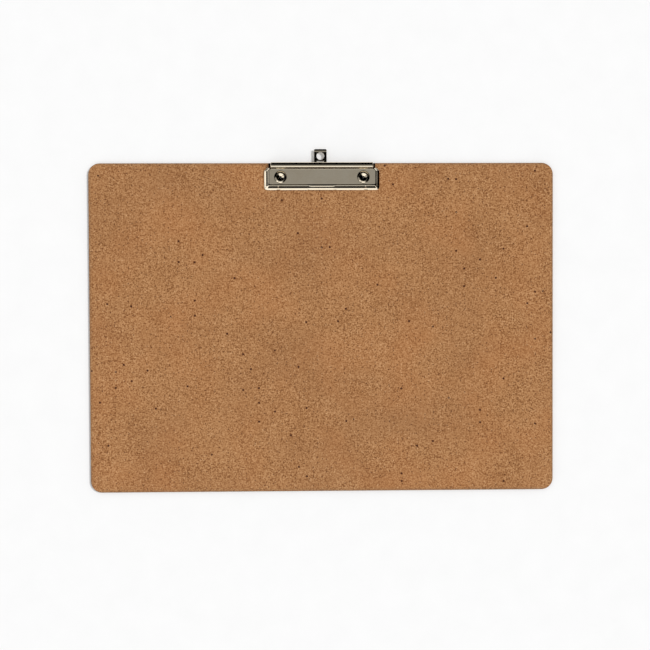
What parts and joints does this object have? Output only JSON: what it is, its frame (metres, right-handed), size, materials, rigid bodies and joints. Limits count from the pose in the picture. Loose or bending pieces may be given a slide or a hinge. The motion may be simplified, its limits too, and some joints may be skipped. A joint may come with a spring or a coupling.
{
  "type": "clipboard",
  "caption": "Landscape hardboard clipboard with a low sprung metal clip riveted to one long edge and a pull-out tab with a hole to hang it by.",
  "frame": {"origin": "centre of the board's back face, the face that lies on a desk", "axes": "+X along the board's long edge, +Y towards the edge that carries the clip, +Z out of the writing face"},
  "size_m": [0.45, 0.3318, 0.0106],
  "materials": {
    "hardboard": "smooth, lightly sealed brown hardboard face with fine fibre mottle",
    "nickel": "bright nickel plate on pressed steel",
    "spring_steel": "bare drawn spring wire"
  },
  "bodies": {
    "board": {"board": "hardboard", "base_plate": "nickel", "hinge_pin": "nickel", "rivet_left": "nickel", "rivet_right": "nickel", "torsion_spring_left": "spring_steel", "torsion_spring_right": "spring_steel"},
    "jaw": {"jaw_plate": "nickel"},
    "tab": {"hanging_tab": "nickel"}
  },
  "joints": [
    {"name": "jaw_hinge", "type": "hinge", "parent": "board", "child": "jaw", "pos_m": [0.00025, 0.15645, 0.0073], "axis": [-1, 0, 0], "range_deg": [0, 45], "stiffness_Nm_per_rad": 0.22, "springref_deg": -72.77, "deforming": ["torsion_spring_left", "torsion_spring_right"]},
    {"name": "tab_slide", "type": "slide", "parent": "board", "child": "tab", "axis": [0, 1, 0], "range_m": [-0.0087, 0]}
  ]
}
